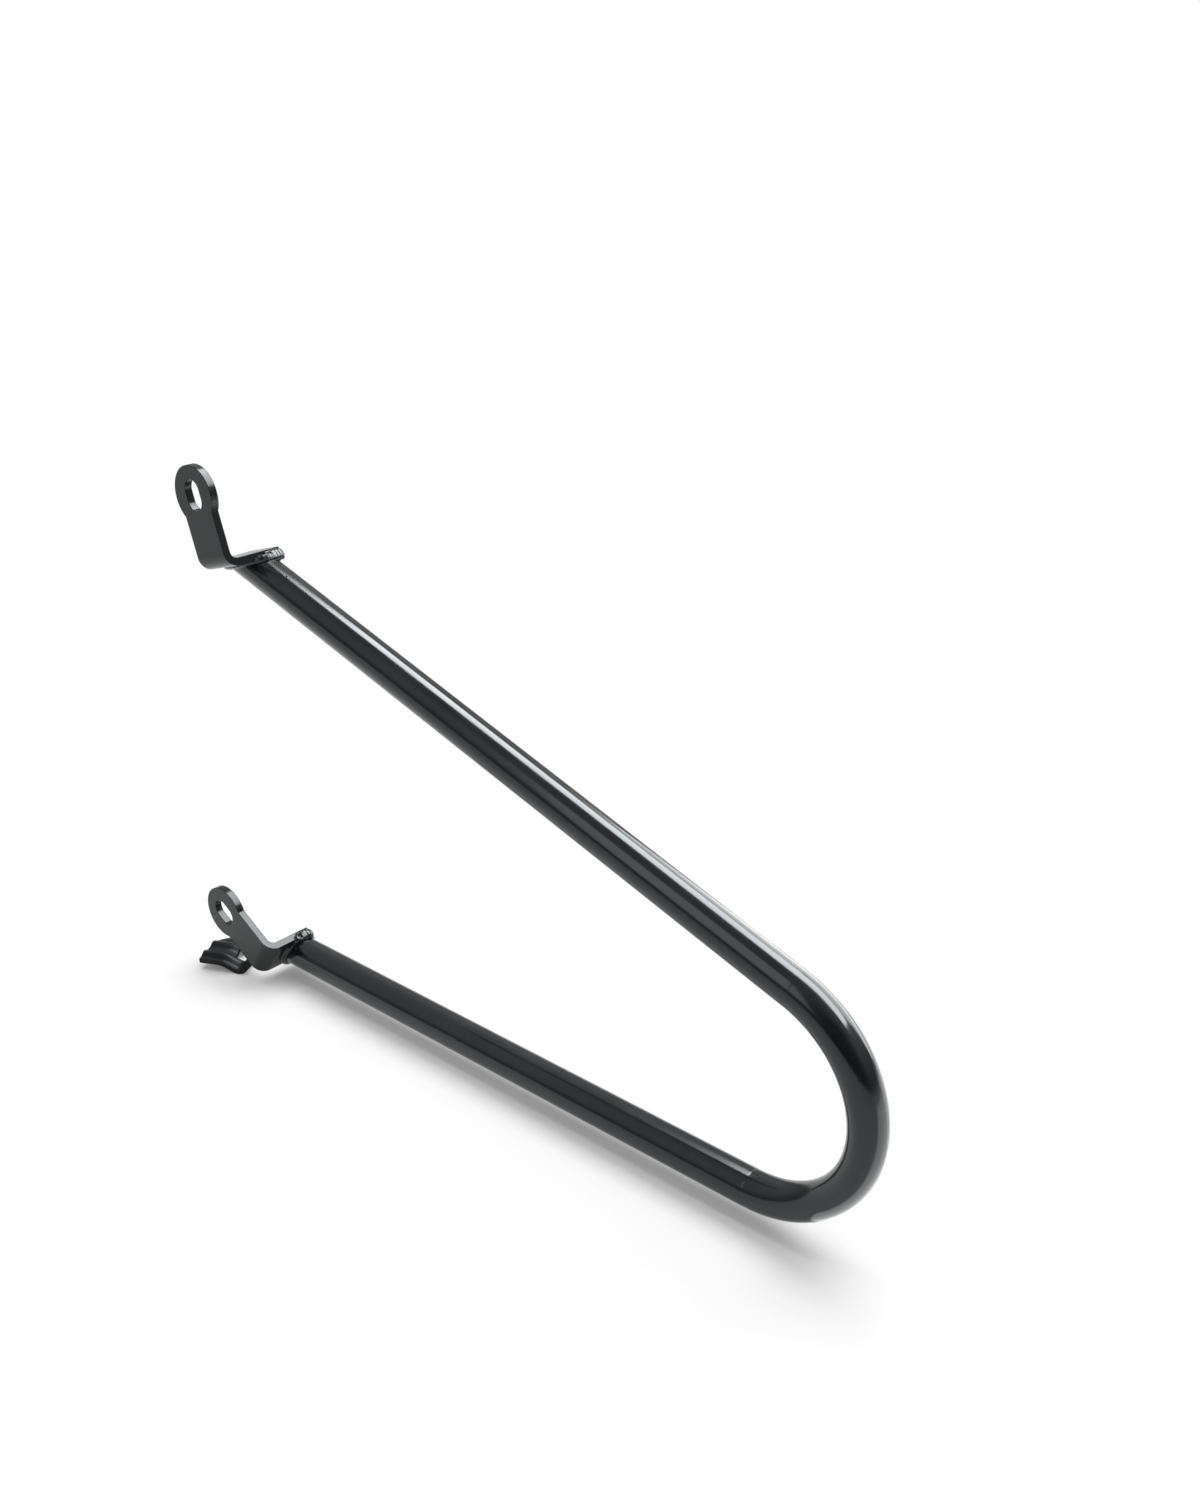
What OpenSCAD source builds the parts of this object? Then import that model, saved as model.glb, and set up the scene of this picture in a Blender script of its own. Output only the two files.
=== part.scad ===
/* [Tube] */
// Outside diameter of the round tube
tube_od = 16; // [12:0.5:22]
// Wall of the tube
tube_wall = 1.5; // [1:0.1:2.5]
// Radius of the bend, to the middle of the tube
bend_r = 51; // [38:1:70]
// How far the tube turns round in its bend, in degrees
bend_turn = 161.4; // [150:0.2:175]
// Length of the lower arm, from the bend to its cut end
lower_len = 283; // [200:1:400]
// Length of the upper arm, from the bend to its cut end
upper_len = 318; // [220:1:420]

/* [Tabs] */
// Thickness of the two bent tabs
plate_t = 3.5; // [2.5:0.1:5]
// Inside radius where a tab is bent
plate_bend_r = 3; // [2:0.5:8]
// From the middle of the tube to the outer face of both tabs
tab_set = 20.5; // [18:0.5:30]
// Width of the strip that a tab is bent from
strip_w = 20.5; // [16:0.5:26]
// Radius of the round head of a tab
head_r = 13.2; // [11:0.1:18]
// Width of the slot in a tab
slot_w = 10; // [6:0.1:12]
// Length of the slot in a tab, end to end
slot_len = 14; // [13:0.5:18]

/* [Upper tab] */
// Lean of the upper tab away from upright, in degrees
upper_lean = 16; // [5:0.1:35]
// From the cut end of the tube to the middle of the head
upper_reach = 33; // [28:0.5:50]
// Middle of the upper strip, ahead of the middle of the tube
upper_shift = 2.2; // [-3:0.1:3]

/* [Lower tab] */
// Lean of the lower tab away from upright, in degrees
lower_lean = 57.8; // [45:0.1:70]
// From the cut end of the tube to the middle of the head
lower_reach = 34.5; // [28:0.5:50]
// Middle of the lower strip, ahead of the middle of the tube
lower_shift = 0.8; // [-3:0.1:3]

/* [Saddle] */
// Thickness of the ribbed saddle sheet
saddle_t = 2.4; // [1.5:0.1:3]
// Width of the saddle, along its cradle
saddle_w = 23; // [18:0.5:30]
// From the cut end of the lower arm out to the tip of the saddle
saddle_out = 40; // [36:0.5:48]
// Length of the flat ear of the saddle
ear_len = 9; // [6:0.5:12]
// Length of the straight ramp from the ear down to the cradle
ramp_len = 4.8; // [2:0.2:8]
// Inside radius of the bend between the ear and the ramp
ear_bend_r = 11; // [6:0.5:14]
// Outside radius of the cradle's bottom
cradle_r = 6; // [5:0.5:9]
// How far the saddle is turned away from the lower arm, in degrees
saddle_yaw = 27; // [15:1:40]
// How steeply the ear drops into the cradle, in degrees
drop_turn = 26; // [15:1:40]
// How steeply the cradle rises to the lower tab, in degrees
rise_turn = 48; // [30:1:60]
// Height of a pressed rib above the sheet
rib_h = 1.5; // [0.5:0.1:2]
// Width of a pressed rib at its foot
rib_w = 8.4; // [5:0.2:9]
// Width of the hole in the cradle
hole_w = 6; // [4:0.5:8]
// Length of the hole in the cradle
hole_len = 10; // [9:0.5:12]
// How far the saddle's tongue laps up behind the lower tab
tongue_lap = 6; // [3:0.5:9]

/* [Welds] */
// Radius of the weld beads round the tube's ends
bead_r = 2; // [1:0.1:3]

/* [Hidden] */
$fn = 64;
paint = [0.13, 0.13, 0.14];
far = 60;
overrun = 30;
bend_thin = 0.05;
neck = 1;
tube_r = tube_od / 2;
bore_r = tube_r - tube_wall;
// height of the middle of the lower arm above the saddle's lowest line
arm_h = 13.4;
bend_mid_z = arm_h + bend_r;

// middle of the tube at its two cut ends, as [x, z]
upper_end = [bend_r * sin(bend_turn) + upper_len * cos(bend_turn),
             bend_mid_z - bend_r * cos(bend_turn) + upper_len * sin(bend_turn)];
lower_end = [-lower_len, arm_h];
// the tabs' legs end level with the tube above, and short of it below
upper_leg_end = tube_r;
lower_leg_end = tube_r - 3;
tab_inner_y = -tab_set + plate_t;
// lower edge of the lower strip, measured across it
lower_edge = lower_shift - strip_w / 2;

// places across the saddle, as shares of its width
hole_share = 0.55;
rib_shares = [0.24, 0.66];
rib_places = saddle_w * rib_shares;
ramp_start = ear_len + ear_bend_r * sin(drop_turn);
cradle_x = ramp_start + ramp_len * cos(drop_turn) + cradle_r * sin(drop_turn);
rise_x = cradle_x + cradle_r * sin(rise_turn);
ear_z = cradle_r * (1 - cos(drop_turn)) + ramp_len * sin(drop_turn) + ear_bend_r * (1 - cos(drop_turn));
rise_z = cradle_r * (1 - cos(rise_turn));
// the saddle's front edge comes to the tab's inner face this far up the rise
pass_len = 9;
saddle_corner = [-lower_len - saddle_out, tab_inner_y - (rise_x + pass_len * cos(rise_turn)) * sin(saddle_yaw)];
// puddles of weld on a leg's edge stay just below its upper face
puddle_r = 0.95 * plate_t;
puddle_pitch = 3.2;
tongue_w = 4.5;
tongue_len = 18;

// where the tongue's lower face passes the inner corner of the lower tab's edge, along the tab
rise_start = [saddle_corner[0] + rise_x * cos(saddle_yaw), saddle_corner[1] + rise_x * sin(saddle_yaw), rise_z];
tongue_up = [-sin(rise_turn) * cos(saddle_yaw), -sin(rise_turn) * sin(saddle_yaw), cos(rise_turn)];
corner_foot = [lower_end[0] + lower_edge * cos(lower_lean), tab_inner_y,
               lower_end[1] + lower_edge * sin(lower_lean)];
tab_up = [-sin(lower_lean), 0, cos(lower_lean)];
seam_at = (tongue_up * (rise_start - corner_foot)) / (tongue_up * tab_up);

// a tab's own frame: X across the strip, Y sideways, Z along the strip, 0 on the tube's cut
module at_cut(end, lean) {
  translate([end[0], 0, end[1]]) rotate([0, -lean, 0]) children();
}

// everything beyond the cut of a tube's end
module beyond_cut(end, lean) {
  at_cut(end, lean) translate([-far, -far, 0]) cube([2 * far, 2 * far, 2 * far]);
}

// one arm along Z from the bend's end, with a slight neck that runs a little way into the bend
module arm(r, len) {
  rotate_extrude() polygon([[0, -neck], [r - 2 * bend_thin, -neck], [r, 0], [r, len], [0, len]]);
}

// bending leaves the tube a hair thinner, so the bend comes out of the arms' necks
module tube_run(r) {
  translate([0, 0, arm_h]) rotate([0, -90, 0]) arm(r, lower_len + overrun);
  translate([0, 0, bend_mid_z]) {
    rotate([90, 0, 0]) rotate([0, 0, -90]) rotate_extrude(angle = bend_turn) translate([bend_r, 0])
      circle(r = r - bend_thin);
    rotate([0, -bend_turn, 0]) translate([0, 0, -bend_r]) rotate([0, 90, 0]) arm(r, upper_len + overrun);
  }
}

module hoop_tube() {
  color(paint) difference() {
    tube_run(tube_r);
    tube_run(bore_r);
    beyond_cut(upper_end, upper_lean);
    beyond_cut(lower_end, lower_lean);
  }
}

module slot() {
  half = (slot_len - slot_w) / 2;
  for (s = [-half, half]) translate([0, 0, s]) rotate([90, 0, 0]) cylinder(d = slot_w, h = far, center = true);
  cube([slot_w, far, 2 * half], center = true);
}

// strip bent square: the leg lies on the tube's cut, the tab stands beside the tube
module bent_tab(reach, leg_end, shift) {
  bend_y = -tab_set + plate_t + plate_bend_r;
  bend_z = plate_t + plate_bend_r;
  translate([shift, 0, 0]) difference() {
    union() {
      translate([-strip_w / 2, bend_y, 0]) cube([strip_w, leg_end - bend_y, plate_t]);
      translate([strip_w / 2, bend_y, bend_z]) rotate([0, -90, 0]) rotate([0, 0, 180])
        rotate_extrude(angle = 90) translate([plate_bend_r, 0]) square([plate_t, strip_w]);
      translate([-strip_w / 2, -tab_set, bend_z]) cube([strip_w, plate_t, reach - bend_z]);
      translate([0, -tab_set + plate_t, reach]) rotate([90, 0, 0]) cylinder(r = head_r, h = plate_t);
    }
    translate([0, -tab_set, reach]) slot();
  }
}

module upper_tab() {
  color(paint) at_cut(upper_end, upper_lean) bent_tab(upper_reach, upper_leg_end, upper_shift);
}

module lower_tab() {
  color(paint) at_cut(lower_end, lower_lean) bent_tab(lower_reach, lower_leg_end, lower_shift);
}

// a rib's soft rise above the flat sheet, which the groove below it follows
function rise_at(y) = let (x = min([for (p = rib_places) abs(y - p)]) / (rib_w / 2))
  x < 1 ? rib_h * (1 + cos(180 * x)) / 2 : 0;

// cross-section of the saddle's sheet as [across, up]
rib_steps = 5;
across = concat([0], [for (p = rib_places, k = [-rib_steps:rib_steps]) p + rib_w / 2 * k / rib_steps], [saddle_w]);
last = len(across) - 1;
sheet_section = concat([for (y = across) [y, rise_at(y)]],
                       [for (i = [last:-1:0]) [across[i], saddle_t + rise_at(across[i])]]);

// stations along the sheet's lower face, as [x, z, back, up]: back and up are what a height of 1 adds
function station(x, z, slope) = [x, z, -sin(slope), cos(slope)];
down_steps = 6;
up_steps = 14;
stations = concat(
  [station(0, ear_z, 0)],
  [for (i = [0:down_steps]) let (a = drop_turn * i / down_steps)
    station(ear_len + ear_bend_r * sin(a), ear_z - ear_bend_r * (1 - cos(a)), -a)],
  [for (i = [0:up_steps]) let (a = -drop_turn + (drop_turn + rise_turn) * i / up_steps)
    station(cradle_x + cradle_r * sin(a), cradle_r * (1 - cos(a)), a)],
  [[rise_x + tongue_len, rise_z + tongue_len * tan(rise_turn), 0, 1 / cos(rise_turn)]]);

// a closed skin through the section at every station
module swept(section, stations) {
  n = len(section);
  m = len(stations);
  end = (m - 1) * n;
  points = [for (s = stations, p = section) [s[0] + p[1] * s[2], p[0], s[1] + p[1] * s[3]]];
  sides = [for (i = [0:n:end - n], j = [0:n - 1]) let (k = (j + 1) % n)
    each [[i + j, i + n + k, i + k], [i + j, i + n + j, i + n + k]]];
  caps = [for (j = [0:n / 2 - 2]) let (k = n - 1 - j)
    each [[j, j + 1, k - 1], [j, k - 1, k], [end + j, end + k - 1, end + j + 1], [end + j, end + k, end + k - 1]]];
  polyhedron(points, concat(sides, caps), convexity = 6);
}

module at_saddle() {
  translate(saddle_corner) rotate([0, 0, saddle_yaw]) children();
}

module cradle_hole() {
  half = (hole_len - hole_w) / 2;
  translate([cradle_x - cradle_r * sin(drop_turn), saddle_w * hole_share, -far]) {
    for (y = [-half, half]) translate([0, y, 0]) cylinder(d = hole_w, h = 2 * far);
    translate([-hole_w / 2, -half, 0]) cube([hole_w, 2 * half, 2 * far]);
  }
}

// everything outside the ear's rounded back corner
module ear_corner() {
  translate([0, saddle_w, 0]) difference() {
    translate([-ear_len, -ear_len, -far]) cube([2 * ear_len, 2 * ear_len, 2 * far]);
    translate([ear_len, -ear_len, -2 * far]) cylinder(r = ear_len, h = 4 * far);
  }
}

// past the cradle only a tongue goes on, up behind the lower tab
module saddle() {
  color(paint) difference() {
    at_saddle() difference() {
      swept(sheet_section, stations);
      cradle_hole();
      ear_corner();
      translate([rise_x, tongue_w, -far]) cube([2 * far, far, 2 * far]);
    }
    at_cut(lower_end, lower_lean) translate([lower_edge + tongue_lap, -far, -far]) cube(2 * far);
  }
}

// bead of weld along an oval: half lengths a and b, in the plane of a tube's cut, with shallow ripples
module oval_bead(a, b) {
  steps = 60;
  sides = 10;
  ripple = 0.06;
  points = [for (i = [0:steps - 1], j = [0:sides - 1])
    let (t = 360 * i / steps, u = 360 * j / sides, r = bead_r * (1 + ripple * (i % 2)))
    [(a + r * cos(u)) * cos(t), (b + r * cos(u)) * sin(t), r * sin(u)]];
  faces = [for (i = [0:steps - 1], j = [0:sides - 1])
    let (i2 = (i + 1) % steps, j2 = (j + 1) % sides)
    [i * sides + j, i * sides + j2, i2 * sides + j2, i2 * sides + j]];
  polyhedron(points, faces, convexity = 4);
}

// three puddles of weld along the leg's front edge, the largest at its far end
module edge_puddles(front, leg_end) {
  for (i = [0:2]) let (r = puddle_r * (1 - 0.16 * i), y = leg_end - puddle_r / 2 - puddle_pitch * i)
    translate([front - r / 2, y, 0]) sphere(r = r);
}

// the bead stands on the tube and on the tab's leg, and closes the bore where the leg leaves it open
module end_weld(end, lean, arm_turn, shift, leg_end) {
  slant = sin(arm_turn - lean);
  leg_edge = shift - strip_w / 2;
  open_bore = leg_edge > -bore_r / slant;
  plug_edge = open_bore ? leg_edge + bead_r : -far;
  difference() {
    union() {
      at_cut(end, lean) {
        oval_bead(tube_r / slant, tube_r);
        edge_puddles(shift + strip_w / 2, leg_end);
      }
      if (open_bore) intersection() {
        tube_run(bore_r);
        at_cut(end, lean) translate([-far, -far, -bead_r]) cube([far + plug_edge, 2 * far, bead_r]);
      }
    }
    intersection() {
      tube_run(bore_r);
      at_cut(end, lean) translate([plug_edge, -far, -far]) cube([2 * far, 2 * far, far]);
    }
    hoop_tube();
    children();
  }
}

module upper_weld() {
  color(paint) end_weld(upper_end, upper_lean, bend_turn, upper_shift, upper_leg_end) upper_tab();
}

module lower_weld() {
  color(paint) end_weld(lower_end, lower_lean, 180, lower_shift, lower_leg_end) lower_tab();
}

// short bead along the corner of the tab's edge, over both faces of the tongue
module saddle_weld() {
  seam_len = saddle_t + 2 * bead_r;
  color(paint) difference() {
    at_cut(lower_end, lower_lean) translate([lower_edge, tab_inner_y, seam_at - bead_r]) {
      cylinder(r = bead_r, h = seam_len);
      for (z = [0, seam_len]) translate([0, 0, z]) sphere(r = bead_r);
    }
    lower_tab();
    saddle();
  }
}

hoop_tube();
upper_tab();
lower_tab();
saddle();
upper_weld();
lower_weld();
saddle_weld();
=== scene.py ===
import math
import random

import bmesh
import bpy
from mathutils import Matrix, Quaternion, Vector


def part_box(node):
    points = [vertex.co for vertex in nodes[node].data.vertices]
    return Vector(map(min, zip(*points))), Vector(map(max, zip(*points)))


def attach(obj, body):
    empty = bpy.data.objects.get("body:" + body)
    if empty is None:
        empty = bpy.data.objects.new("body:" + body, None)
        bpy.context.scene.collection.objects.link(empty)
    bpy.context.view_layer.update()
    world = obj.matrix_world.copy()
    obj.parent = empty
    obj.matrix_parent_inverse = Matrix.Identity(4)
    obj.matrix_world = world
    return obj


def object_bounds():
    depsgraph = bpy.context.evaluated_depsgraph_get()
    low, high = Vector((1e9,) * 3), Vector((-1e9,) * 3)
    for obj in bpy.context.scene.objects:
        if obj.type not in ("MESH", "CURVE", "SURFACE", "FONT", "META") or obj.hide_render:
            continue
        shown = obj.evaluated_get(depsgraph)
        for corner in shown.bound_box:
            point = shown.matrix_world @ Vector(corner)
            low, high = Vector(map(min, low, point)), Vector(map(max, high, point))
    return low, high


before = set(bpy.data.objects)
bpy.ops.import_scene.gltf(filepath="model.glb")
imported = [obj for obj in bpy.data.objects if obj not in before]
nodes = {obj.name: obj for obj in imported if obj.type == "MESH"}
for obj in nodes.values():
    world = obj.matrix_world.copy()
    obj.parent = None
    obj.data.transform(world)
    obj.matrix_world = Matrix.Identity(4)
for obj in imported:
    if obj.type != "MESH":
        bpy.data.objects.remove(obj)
cad_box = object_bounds()

MM = 0.001

# ---------------------------------------------------------------- camera
# The photograph's frame is 1200 x 1500, and the camera looks down on the side that carries the
# tabs' outer faces.
PHOTO_LONG_SIDE = 1500
FOCAL_IN_PIXELS = 1557.6
SENSOR = 36.0
CAMERA_PLACE = Vector((0.28312, -0.40088, 0.41772))
CAMERA_LOOKS = Vector((-0.5891, 0.6816, -0.4340))
CAMERA_ROLL = math.radians(-0.36)
# The middle of the lens sits a little right of the frame's middle, and below it.
LENS_RIGHT = 27
LENS_BELOW = 53
CLIP_START = 0.01


def add_camera():
    data = bpy.data.cameras.new("photo_camera")
    data.sensor_width = SENSOR
    data.lens = SENSOR * FOCAL_IN_PIXELS / PHOTO_LONG_SIDE
    data.shift_x = -LENS_RIGHT / PHOTO_LONG_SIDE
    data.shift_y = LENS_BELOW / PHOTO_LONG_SIDE
    data.clip_start = CLIP_START
    camera = bpy.data.objects.new("photo_camera", data)
    level = CAMERA_LOOKS.to_track_quat("-Z", "Y").to_matrix()
    camera.matrix_world = Matrix.Translation(CAMERA_PLACE) @ (
        level @ Matrix.Rotation(CAMERA_ROLL, 3, "Z")).to_4x4()
    bpy.context.scene.collection.objects.link(camera)
    bpy.context.scene.camera = camera


# ---------------------------------------------------------------- node helpers
class Shader:
    """The node tree of a new material or world, with short calls to add and join nodes."""

    def __init__(self, owner, output="ShaderNodeOutputMaterial"):
        self.owner = owner
        owner.use_nodes = True
        self.tree = owner.node_tree
        self.tree.nodes.clear()
        self.output = self.add(output)

    def add(self, kind, inputs=None, **settings):
        """A new node. inputs gives its sockets a value or a socket to join, and settings its own."""
        node = self.tree.nodes.new(kind)
        for key, value in settings.items():
            setattr(node, key, value)
        for key, value in (inputs or {}).items():
            if isinstance(value, bpy.types.NodeSocket):
                self.tree.links.new(value, node.inputs[key])
            else:
                node.inputs[key].default_value = value
        return node

    def noise(self, place, period, detail=2.0, rough=0.5):
        """Noise whose blotches are about that many metres apart."""
        noise = self.add("ShaderNodeTexNoise", {
            "Vector": place, "Scale": 1 / period, "Detail": detail, "Roughness": rough})
        return noise.outputs["Fac"]

    def ramp(self, value, low, high, to_low=0.0, to_high=1.0):
        """The value, brought from low..high to to_low..to_high and kept within them."""
        ramp = self.add("ShaderNodeMapRange", {
            "Value": value, "From Min": low, "From Max": high,
            "To Min": to_low, "To Max": to_high})
        return ramp.outputs["Result"]

    def bump(self, height, depth, normal=None):
        """Bump from a height of 0 to 1 that stands for that depth in metres."""
        inputs = {"Height": height, "Distance": depth, "Strength": 1.0}
        if normal is not None:
            inputs["Normal"] = normal
        return self.add("ShaderNodeBump", inputs).outputs["Normal"]

    def mix_colour(self, share, first, second):
        """A blend of two colours. A colour mix has its share in input 0, its colours in 6 and 7."""
        mix = self.add("ShaderNodeMix", data_type="RGBA")
        for index, value in ((0, share), (6, first), (7, second)):
            socket = mix.inputs[index]
            if isinstance(value, bpy.types.NodeSocket):
                self.tree.links.new(value, socket)
            else:
                socket.default_value = value
        return mix.outputs[2]

    def finish(self, surface):
        self.tree.links.new(surface, self.output.inputs["Surface"])
        return self.owner


# ---------------------------------------------------------------- black paint
PAINT_DARK = (0.0042, 0.0045, 0.0050, 1)
PAINT_LIGHT = (0.0075, 0.0080, 0.0088, 1)
PAINT_TINT = (0.93, 0.98, 1.0, 1)
PAINT_IOR = 1.5
COLOUR_PERIOD = 45 * MM
GLOSS_PERIOD = 22 * MM
# How far the roughness strays to each side of a paint's own.
GLOSS_UNDER, GLOSS_OVER = 0.03, 0.05
EDGE_ROUND = 0.45 * MM
EDGE_SAMPLES = 12
RIPPLE_PERIOD, RIPPLE_DEPTH = 2.2 * MM, 0.015 * MM
PEEL_PERIOD, PEEL_DEPTH = 6 * MM, 0.0014 * MM


def black_paint(name, gloss, shine, edge=EDGE_ROUND, ripple=0.0):
    """Gloss black powder coat over steel.

    gloss is its roughness and shine its specular level. edge rounds the sheared edges under it, and
    ripple is the depth of a weld's ripples, both in metres.
    """
    s = Shader(bpy.data.materials.new(name))
    place = s.add("ShaderNodeTexCoord").outputs["Object"]
    cloud = s.noise(place, COLOUR_PERIOD, detail=3.0)
    colour = s.mix_colour(s.ramp(cloud, 0.35, 0.7), PAINT_DARK, PAINT_LIGHT)
    rough_cloud = s.noise(place, GLOSS_PERIOD, detail=3.0)
    roughness = s.ramp(rough_cloud, 0.3, 0.75, gloss - GLOSS_UNDER, gloss + GLOSS_OVER)
    normal = None
    if edge:
        normal = s.add("ShaderNodeBevel", {"Radius": edge}, samples=EDGE_SAMPLES).outputs["Normal"]
    if ripple:
        normal = s.bump(s.noise(place, RIPPLE_PERIOD, detail=1.0), ripple, normal=normal)
    peel = s.noise(place, PEEL_PERIOD, detail=1.0, rough=0.4)
    normal = s.bump(peel, PEEL_DEPTH, normal=normal)
    shader = s.add("ShaderNodeBsdfPrincipled", {
        "Base Color": colour, "Roughness": roughness, "Normal": normal, "IOR": PAINT_IOR,
        "Specular IOR Level": shine, "Specular Tint": PAINT_TINT})
    return s.finish(shader.outputs["BSDF"])


def paint_nodes():
    """Paints the CAD nodes, and gives back the welds' paint."""
    tube = black_paint("black_paint_tube", gloss=0.15, shine=0.46, edge=0.0)
    plate = black_paint("black_paint_plate", gloss=0.2, shine=0.3)
    sheet = black_paint("black_paint_sheet", gloss=0.36, shine=0.17)
    bead = black_paint("black_paint_weld", gloss=0.2, shine=0.46, ripple=RIPPLE_DEPTH)
    finishes = {
        "hoop_tube": tube, "upper_tab": plate, "lower_tab": plate, "saddle": sheet,
        "upper_weld": bead, "lower_weld": bead, "saddle_weld": bead,
    }
    for name, material in finishes.items():
        mesh = nodes[name].data
        mesh.materials.clear()
        mesh.materials.append(material)
    return bead


# ---------------------------------------------------------------- measures of the tube
TUBE_R = 8 * MM
BEND_R = 51 * MM
BEND_TURN = math.radians(161.4)
UPPER_LEN, LOWER_LEN = 318 * MM, 283 * MM
# The height of the middle of the lower arm, and of the upper arm where the bend ends.
LOWER_ARM_HEIGHT = 13.4 * MM
UPPER_ARM_HEIGHT = LOWER_ARM_HEIGHT + BEND_R * (1 - math.cos(BEND_TURN))
# The direction from the upper arm's welded end to the bend.
UPPER_ARM_RUNS = Vector((-math.cos(BEND_TURN), 0, -math.sin(BEND_TURN)))
# The middle of the tube at its two cut ends.
UPPER_END = Vector((BEND_R * math.sin(BEND_TURN), 0, UPPER_ARM_HEIGHT)) - UPPER_ARM_RUNS * UPPER_LEN
LOWER_END = Vector((-LOWER_LEN, 0, LOWER_ARM_HEIGHT))


# ---------------------------------------------------------------- weld spatter
SPATTER_SEED = 7
UPPER_REACH, UPPER_DROPS = 60 * MM, 13
LOWER_REACH, LOWER_DROPS = 45 * MM, 7
# The bare length beside the weld, and the power that gathers the drops near it.
SPATTER_START, SPATTER_CROWDING = 4 * MM, 3
# From a little behind the arm's top, over the top, to its front.
SPATTER_TURNS = (-0.05 * math.pi, 0.4 * math.pi)
# Radii in millimetres, and heights as a share of a half ball's.
DROP_RADII = (0.18, 0.5)
DROP_HEIGHTS = (0.55, 0.9)


def weld_middle(weld):
    low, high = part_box(weld)
    return (low + high) / 2


def spatter(name, end, along, reach, count, material, rng):
    """Small drops of weld metal under the paint, thrown from an arm's end along that direction."""
    tube = nodes["hoop_tube"]
    across = along.cross(Vector((0, 1, 0))).normalized()
    if across.z < 0:
        across.negate()
    mesh = bmesh.new()
    for _ in range(count):
        far = reach * rng.random() ** SPATTER_CROWDING + SPATTER_START
        turn = rng.uniform(*SPATTER_TURNS)
        out = across * math.cos(turn) - Vector((0, 1, 0)) * math.sin(turn)
        hit, place, normal, _ = tube.closest_point_on_mesh(end + along * far + out * TUBE_R)
        if not hit:
            continue
        radius = rng.uniform(*DROP_RADII) * MM
        turned = normal.to_track_quat("Z", "Y").to_matrix().to_4x4()
        flattened = Matrix.Diagonal((1, 1, rng.uniform(*DROP_HEIGHTS), 1))
        at = Matrix.Translation(place) @ turned @ flattened
        bmesh.ops.create_icosphere(mesh, subdivisions=2, radius=radius, matrix=at)
    for face in mesh.faces:
        face.smooth = True
    data = bpy.data.meshes.new(name)
    mesh.to_mesh(data)
    mesh.free()
    data.materials.append(material)
    drops = bpy.data.objects.new(name, data)
    bpy.context.scene.collection.objects.link(drops)
    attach(drops, "root")


def add_spatter(material):
    rng = random.Random(SPATTER_SEED)
    upper, lower = weld_middle("upper_weld"), weld_middle("lower_weld")
    bend_foot = Vector((0, 0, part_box("hoop_tube")[0].z + TUBE_R))
    lower_arm_runs = (bend_foot - lower).normalized()
    spatter("upper_spatter", upper, UPPER_ARM_RUNS, UPPER_REACH, UPPER_DROPS, material, rng)
    spatter("lower_spatter", lower, lower_arm_runs, LOWER_REACH, LOWER_DROPS, material, rng)


# ---------------------------------------------------------------- weld caps
# A leg's own frame starts at the middle of the tube's cut. Its X runs across the strip to the front
# edge, its Y along the leg to the end, and its Z out of the tube.
UPPER_LEAN = math.radians(16)
LOWER_LEAN = math.radians(57.8)
SCALE_PITCH = 1.5 * MM
# Scales are largest this far along the run, and shrink away from there at this rate.
LARGEST_SCALE_AT, SCALE_SHRINK = 0.6, 0.1
CAP_VOXEL = 0.25 * MM
CAP_SMOOTHING, CAP_SMOOTH_STEPS = 0.5, 4
CRATER_R = 2.0 * MM
CRATER_DEPTH = 1.5 * MM


def weld_cap(name, end, lean, ahead, half, slope, start, stop, material):
    """The last run of a weld: scales that overlap along a leg's front edge, from a crater on.

    ahead is where the run lies in X and Z of the leg's frame, and start and stop are its ends in Y.
    half holds a scale's half sizes, and slope turns the scales about Y.
    """
    mesh = bmesh.new()
    turned = Matrix.Rotation(slope, 4, "Y")
    count = round((stop - start) / SCALE_PITCH)
    for i in range(count + 1):
        middle = Vector((ahead[0], start + (stop - start) * i / count, ahead[1]))
        grown = 1 - SCALE_SHRINK * abs(i / count - LARGEST_SCALE_AT)
        at = Matrix.Translation(middle) @ turned @ Matrix.Diagonal((*(h * grown for h in half), 1))
        bmesh.ops.create_icosphere(mesh, subdivisions=3, radius=1.0, matrix=at)
    data = bpy.data.meshes.new(name)
    mesh.to_mesh(data)
    mesh.free()
    cap = bpy.data.objects.new(name, data)
    bpy.context.scene.collection.objects.link(cap)
    remesh = cap.modifiers.new("remesh", "REMESH")
    remesh.mode = "VOXEL"
    remesh.voxel_size = CAP_VOXEL
    smooth = cap.modifiers.new("smooth", "SMOOTH")
    smooth.factor = CAP_SMOOTHING
    smooth.iterations = CAP_SMOOTH_STEPS
    depsgraph = bpy.context.evaluated_depsgraph_get()
    welded = bpy.data.meshes.new_from_object(cap.evaluated_get(depsgraph))
    cap.modifiers.clear()
    outward = turned.to_3x3() @ Vector((1, 0, 0))
    crater = Vector((ahead[0], start, ahead[1])) + outward * half[0]
    place = Matrix.Translation(end) @ Matrix.Rotation(-lean, 4, "Y")
    for vertex in welded.vertices:
        share = max(0.0, 1 - ((vertex.co - crater).length / CRATER_R) ** 2)
        vertex.co = place @ (vertex.co - outward * CRATER_DEPTH * share ** 2)
    for face in welded.polygons:
        face.use_smooth = True
    welded.materials.append(material)
    cap.data = welded
    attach(cap, "root")


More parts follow.
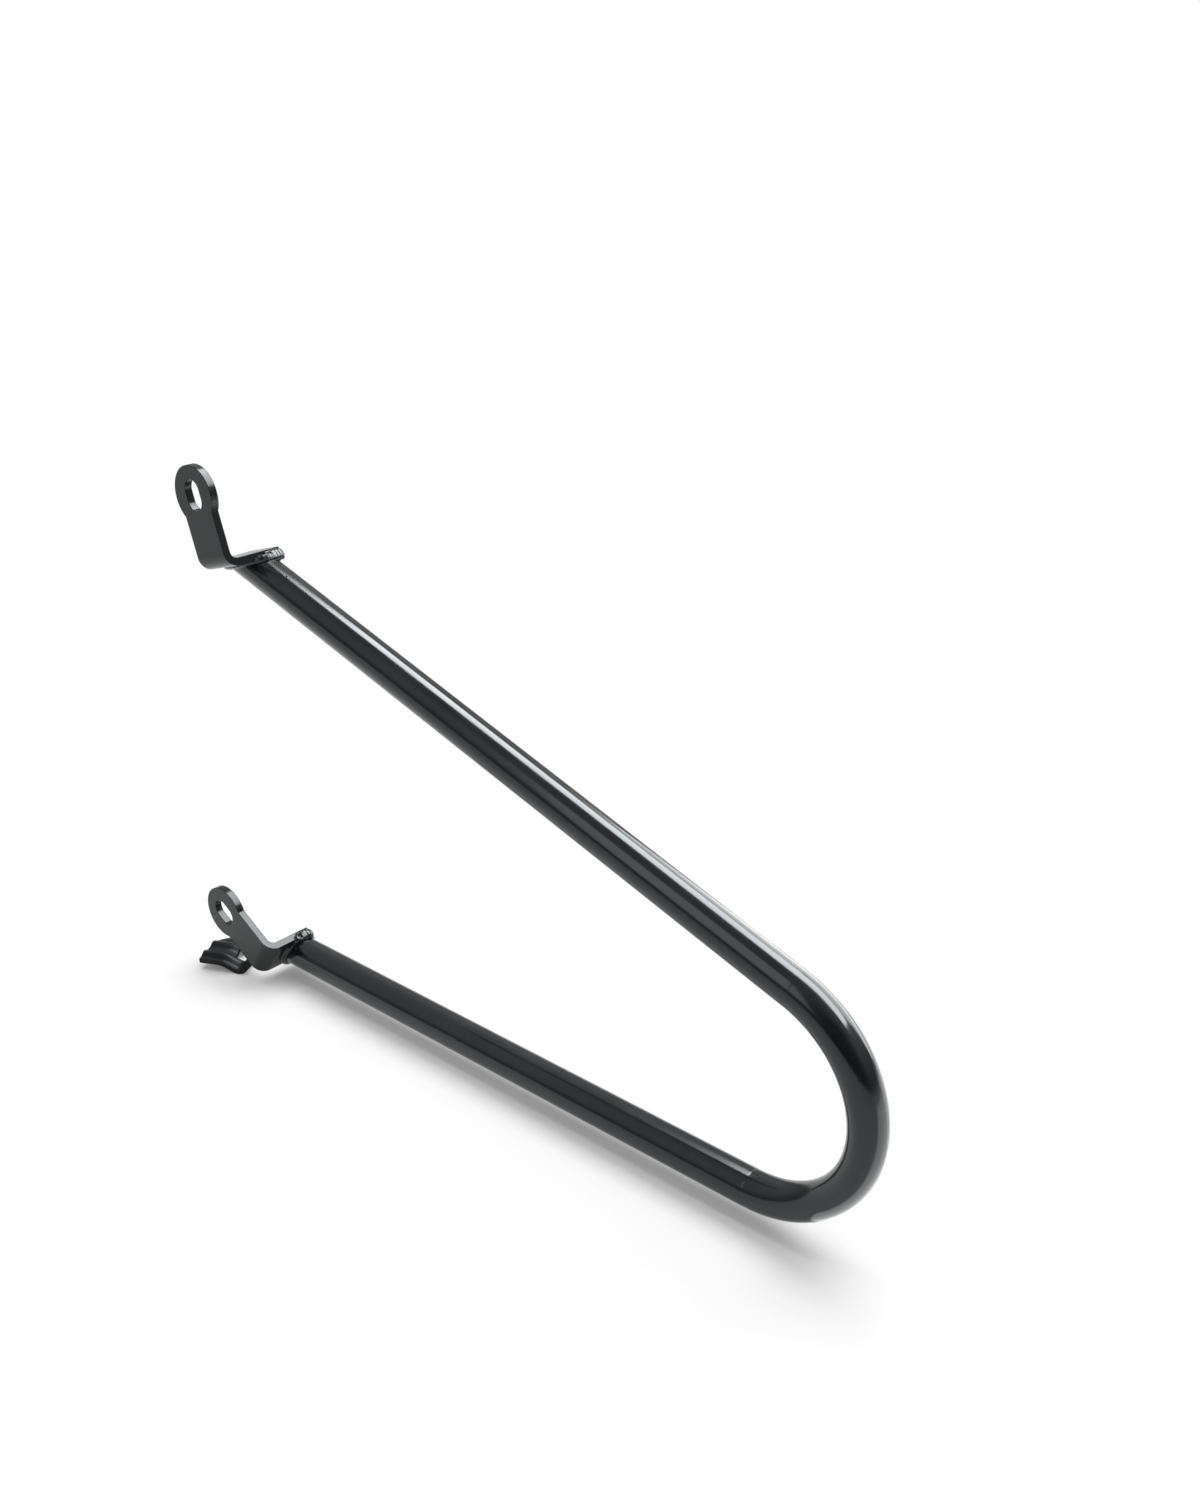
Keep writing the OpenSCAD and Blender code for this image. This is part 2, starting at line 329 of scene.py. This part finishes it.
def add_weld_caps(material):
    weld_cap("upper_weld_cap", UPPER_END, UPPER_LEAN,
             ahead=(13.7 * MM, 0.35 * MM), half=(2.0 * MM, 2.1 * MM, 3.4 * MM),
             slope=math.radians(-38), start=0.5 * MM, stop=6.6 * MM, material=material)
    weld_cap("lower_weld_cap", LOWER_END, LOWER_LEAN,
             ahead=(10.7 * MM, 0.5 * MM), half=(1.9 * MM, 2.1 * MM, 3.1 * MM),
             slope=0.0, start=-1.5 * MM, stop=3.6 * MM, material=material)


# ---------------------------------------------------------------- studio
FLOOR_SIZE = 12.0
WHITE = (1, 1, 1, 1)
FLOOR_LIGHT = (0.83, 0.83, 0.83, 1)
FLOOR_DARK = (0.81, 0.81, 0.81, 1)
FLOOR_PERIOD = 0.3
# The share of plain white that the camera sees mixed into the floor.
FLOOR_LIFT = 0.14
# What reflections of the floor show besides its own light.
FLOOR_GLOW = (0.18, 0.18, 0.18, 1)
# The floor keeps its shadow out to the first distance from the middle of the object, and is plain
# white from the second.
SHADOW_ROOM, WHITE_FROM = 0.42, 0.95


def floor_material():
    """Pale floor that keeps the object's shadow, and goes to plain white away from the object."""
    s = Shader(bpy.data.materials.new("studio_floor"))
    place = s.add("ShaderNodeTexCoord").outputs["Object"]
    away = s.add("ShaderNodeVectorMath", {0: place}, operation="LENGTH").outputs["Value"]
    path = s.add("ShaderNodeLightPath").outputs
    by_camera, by_gloss = path["Is Camera Ray"], path["Is Glossy Ray"]
    seen = s.add("ShaderNodeMath", {0: by_camera, 1: by_gloss}, operation="MAXIMUM").outputs[0]
    fade = s.add("ShaderNodeMapRange", {
        "Value": away, "From Min": SHADOW_ROOM, "From Max": WHITE_FROM},
        interpolation_type="SMOOTHSTEP").outputs["Result"]
    share = s.add("ShaderNodeMath", {0: seen, 1: fade}, operation="MULTIPLY").outputs[0]
    mottle = s.noise(place, FLOOR_PERIOD, detail=2.0)
    colour = s.mix_colour(mottle, FLOOR_LIGHT, FLOOR_DARK)
    matte = s.add("ShaderNodeBsdfDiffuse", {"Color": colour}).outputs[0]
    lift = s.add("ShaderNodeEmission", {"Color": WHITE, "Strength": by_camera}).outputs[0]
    faint = s.add("ShaderNodeMixShader", {0: FLOOR_LIFT, 1: matte, 2: lift}).outputs[0]
    glow = s.add("ShaderNodeEmission", {"Color": FLOOR_GLOW, "Strength": by_gloss}).outputs[0]
    lit = s.add("ShaderNodeAddShader", {0: faint, 1: glow}).outputs[0]
    white = s.add("ShaderNodeEmission", {"Color": WHITE, "Strength": 1.0}).outputs[0]
    return s.finish(s.add("ShaderNodeMixShader", {0: share, 1: lit, 2: white}).outputs[0])


def add_floor():
    mesh = bmesh.new()
    bmesh.ops.create_grid(mesh, x_segments=1, y_segments=1, size=FLOOR_SIZE / 2)
    data = bpy.data.meshes.new("studio_floor")
    mesh.to_mesh(data)
    mesh.free()
    floor = bpy.data.objects.new("studio_floor", data)
    middle = (cad_box[0] + cad_box[1]) / 2
    floor.location = (middle.x, middle.y, cad_box[0].z)
    data.materials.append(floor_material())
    bpy.context.scene.collection.objects.link(floor)


# How bright the room is at these heights above the horizon (1 is straight up).
ROOM_BY_HEIGHT = ((0.0, 0.28), (0.15, 0.32), (0.4, 0.72), (0.75, 0.72), (0.95, 0.42))
# One side of the room is darker by that share. The darkness starts at the first cosine from its
# middle and is whole at the second.
ROOM_DARK_SIDE = Vector((0.62, -0.74, 0.26)).normalized()
ROOM_DARK_SHARE = 0.85
ROOM_DARK_FROM, ROOM_DARK_TO = 0.6, 0.92


def add_world():
    s = Shader(bpy.data.worlds.new("studio_world"), "ShaderNodeOutputWorld")
    way = s.add("ShaderNodeTexCoord").outputs["Generated"]
    height = s.add("ShaderNodeSeparateXYZ", {0: way}).outputs["Z"]
    by_height = s.add("ShaderNodeValToRGB", {"Fac": height})
    stops = by_height.color_ramp.elements
    while len(stops) < len(ROOM_BY_HEIGHT):
        stops.new(0.5)
    for stop, (place, strength) in zip(stops, ROOM_BY_HEIGHT):
        stop.position = place
        stop.color = (strength, strength, strength, 1)
    towards = s.add("ShaderNodeVectorMath", {0: way, 1: ROOM_DARK_SIDE}, operation="DOT_PRODUCT")
    kept = s.ramp(towards.outputs["Value"], ROOM_DARK_FROM, ROOM_DARK_TO, 1.0, 1 - ROOM_DARK_SHARE)
    colour = by_height.outputs["Color"]
    room = s.add("ShaderNodeBackground", {"Color": colour, "Strength": kept}).outputs[0]
    white = s.add("ShaderNodeBackground", {"Color": WHITE, "Strength": 1.0}).outputs[0]
    by_camera = s.add("ShaderNodeLightPath").outputs["Is Camera Ray"]
    whole = s.add("ShaderNodeMixShader", {0: by_camera, 1: room, 2: white}).outputs[0]
    bpy.context.scene.world = s.finish(whole)


def add_lamp(name, place, size, radiance, aim=Vector((0, 0, 0)), spin=0.0, gloss=True, matte=True):
    """A soft rectangular lamp that looks that bright, aimed at a point.

    gloss and matte say whether glossy and matte surfaces show its light.
    """
    data = bpy.data.lights.new(name, "AREA")
    data.shape = "RECTANGLE"
    data.size, data.size_y = size
    data.energy = radiance * math.pi * size[0] * size[1]
    lamp = bpy.data.objects.new(name, data)
    lamp.location = place
    turned = (aim - place).to_track_quat("-Z", "Y") @ Quaternion((0, 0, 1), spin)
    lamp.rotation_euler = turned.to_euler()
    lamp.visible_glossy = gloss
    lamp.visible_diffuse = matte
    lamp.visible_camera = False
    bpy.context.scene.collection.objects.link(lamp)


def add_card(name, middle, size, radiance, facing, spin=0.0):
    """A lamp that only glossy surfaces show, facing that way."""
    add_lamp(name, middle, size, radiance, aim=middle + facing, spin=spin, matte=False)


def add_lamps():
    add_lamp("key", Vector((-0.05, 0.42, 1.5)), (1.7, 1.5), 3.6, gloss=False)
    add_card("strip", Vector((0.33, 0.74, 1.5)), (2.3, 0.8), 15.0,
             facing=Vector((0, 0, -1)), spin=math.radians(8))
    add_card("back_panel", Vector((0.1, 1.5, 0.65)), (1.4, 1.3), 5.5, facing=Vector((0, -1, 0)))
    add_card("front_panel", Vector((-0.2, -1.0, 1.0)), (0.6, 1.2), 1.3, facing=Vector((0, 1, 0)))
    add_card("floor_glow", Vector((0.28, 0.38, 0.001)), (0.5, 0.8), 1.5, facing=Vector((0, 0, 1)))


add_camera()
add_floor()
add_world()
add_lamps()
bead_paint = paint_nodes()
add_spatter(bead_paint)
add_weld_caps(bead_paint)

bpy.context.scene.view_settings.view_transform = "Standard"
